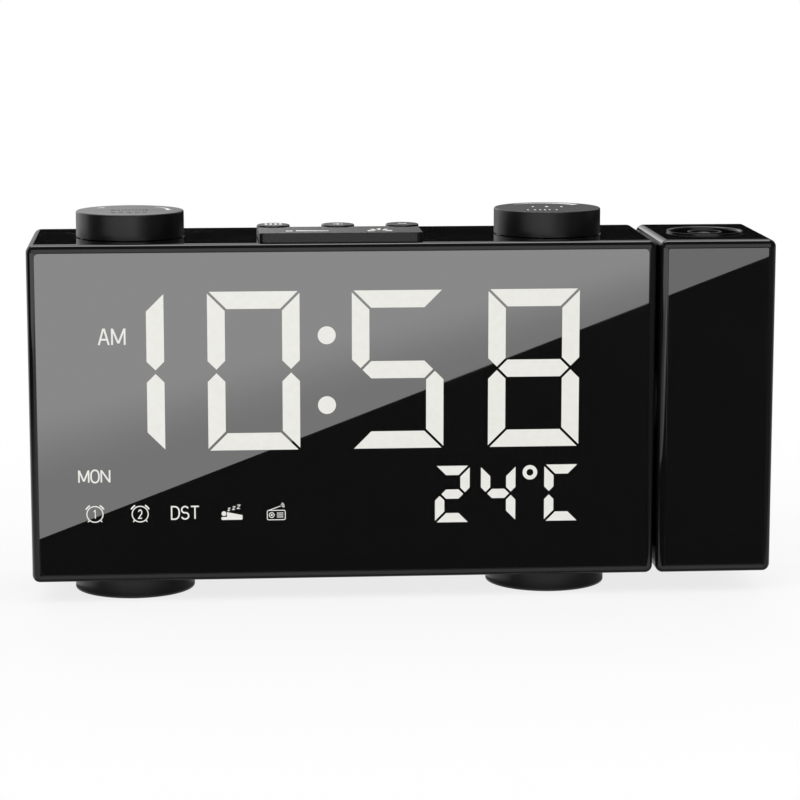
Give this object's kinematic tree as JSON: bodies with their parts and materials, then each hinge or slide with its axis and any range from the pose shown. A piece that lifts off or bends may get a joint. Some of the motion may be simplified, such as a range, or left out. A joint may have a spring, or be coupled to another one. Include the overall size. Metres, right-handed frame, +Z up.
{
  "type": "projection alarm clock",
  "caption": "Bedside projection alarm clock: dark mirror display box on round feet, knobs, control bar and buttons on top, and a turning projector head on its right.",
  "frame": {"origin": "on the table, under the middle of the whole clock with its projector head", "axes": "+X to the projector head's side, +Y to the back, +Z up; the display faces -Y"},
  "size_m": [0.187, 0.0414, 0.0972],
  "materials": {
    "casing_black": "polished injection-moulded ABS",
    "knob_black": "satin moulded ABS",
    "window_dark": "half-mirror smoked acrylic",
    "diffuser_white": "frosted film",
    "mask_white": "white moulded light wells",
    "circuit_board": "solder-masked glass-epoxy",
    "chip_black": "moulded epoxy packages",
    "led_package": "clear-topped lamps",
    "plated_steel": "nickel-plated steel",
    "spring_steel": "spring steel",
    "lens_clear": "polished lens",
    "foot_rubber": "moulded rubber",
    "speaker_paper": "pressed paper cone",
    "magnet_grey": "ferrite and steel",
    "inner_black": "moulded polyamide",
    "pivot_white": "acetal",
    "lead_grey": "insulated lead"
  },
  "bodies": {
    "clock": {"board_parts": "chip_black", "board_screws": "plated_steel", "case_screws": "plated_steel", "cell_contacts": "plated_steel", "cell_holder": "inner_black", "coin_cell": "plated_steel", "diffuser_sheet": "diffuser_white", "display_board": "circuit_board", "display_leds": "led_package", "display_window": "window_dark", "encoder_housings": "plated_steel", "foot_pads": "foot_rubber", "key_board": "circuit_board", "key_switches": "inner_black", "left_foot": "knob_black", "main_board": "circuit_board", "main_casing": "casing_black", "pivot_bush": "pivot_white", "rear_cover": "casing_black", "right_foot": "knob_black", "segment_mask": "mask_white", "slip_washer": "pivot_white", "speaker_basket": "plated_steel", "speaker_cone": "speaker_paper", "speaker_magnet": "magnet_grey", "usb_a_outlet": "plated_steel", "usb_c_inlet": "plated_steel", "wave_washer": "spring_steel"},
    "cell_door": {"cell_door": "casing_black"},
    "left_rotor": {"left_encoder_rotor": "pivot_white"},
    "right_rotor": {"right_encoder_rotor": "pivot_white"},
    "left_knob": {"left_encoder_shaft": "pivot_white", "left_knob": "knob_black"},
    "right_knob": {"right_encoder_shaft": "pivot_white", "right_knob": "knob_black"},
    "control_bar": {"control_bar": "casing_black", "bar_plungers": "inner_black"},
    "left_button": {"left_button": "casing_black", "left_plunger": "inner_black"},
    "middle_button": {"middle_button": "casing_black", "middle_plunger": "inner_black"},
    "right_button": {"right_button": "casing_black", "right_plunger": "inner_black"},
    "head": {"head_casing": "casing_black", "head_cover": "casing_black", "head_window": "window_dark", "head_screws": "plated_steel", "pivot_axle": "inner_black", "stop_plate": "plated_steel", "retaining_ring": "spring_steel", "optics_tube": "inner_black", "lamp_board": "circuit_board", "lamp_led": "led_package", "condenser_lens": "lens_clear", "lcd_slide": "lens_clear", "head_board": "circuit_board", "projector_lead": "lead_grey"},
    "focus_ring": {"focus_ring": "knob_black"},
    "lens": {"lens_barrel": "inner_black", "projection_lens": "lens_clear"}
  },
  "joints": [
    {"name": "head_turn", "type": "hinge", "parent": "clock", "child": "head", "pos_m": [0.0637, 0, 0.0481], "axis": [1, 0, 0], "range_deg": [-90, 90]},
    {"name": "cell_door_turn", "type": "hinge", "parent": "clock", "child": "cell_door", "pos_m": [0.018, 0.02, 0.056], "axis": [0, 1, 0], "range_deg": [0, 40]},
    {"name": "left_knob_turn", "type": "hinge", "parent": "clock", "child": "left_rotor", "pos_m": [-0.0682, 0, 0.0848], "axis": [0, 0, 1], "continuous": true},
    {"name": "left_knob_press", "type": "slide", "parent": "left_rotor", "child": "left_knob", "axis": [0, 0, -1], "range_m": [0, 0.0004], "stiffness_N_per_m": 800, "springref_m": -0.001},
    {"name": "right_knob_turn", "type": "hinge", "parent": "clock", "child": "right_rotor", "pos_m": [0.038, 0, 0.0848], "axis": [0, 0, 1], "continuous": true},
    {"name": "right_knob_press", "type": "slide", "parent": "right_rotor", "child": "right_knob", "axis": [0, 0, -1], "range_m": [0, 0.0004], "stiffness_N_per_m": 800, "springref_m": -0.001},
    {"name": "bar_press", "type": "slide", "parent": "clock", "child": "control_bar", "axis": [0, 0, -1], "range_m": [0, 0.0004], "stiffness_N_per_m": 600, "springref_m": -0.001},
    {"name": "left_button_press", "type": "slide", "parent": "clock", "child": "left_button", "axis": [0, 0, -1], "range_m": [0, 0.0004], "stiffness_N_per_m": 500, "springref_m": -0.001},
    {"name": "middle_button_press", "type": "slide", "parent": "clock", "child": "middle_button", "axis": [0, 0, -1], "range_m": [0, 0.0004], "stiffness_N_per_m": 500, "springref_m": -0.001},
    {"name": "right_button_press", "type": "slide", "parent": "clock", "child": "right_button", "axis": [0, 0, -1], "range_m": [0, 0.0004], "stiffness_N_per_m": 500, "springref_m": -0.001},
    {"name": "focus_turn", "type": "hinge", "parent": "head", "child": "focus_ring", "pos_m": [0.0788, 0, 0.0876], "axis": [0, 0, 1], "range_deg": [-135, 135]},
    {"name": "lens_slide", "type": "slide", "parent": "head", "child": "lens", "axis": [0, 0, 1], "range_m": [-0.001, 0.001]}
  ],
  "couplings": [
    {"joint": "lens_slide", "follows": "focus_turn", "m_per_rad": 0.00042439}
  ]
}
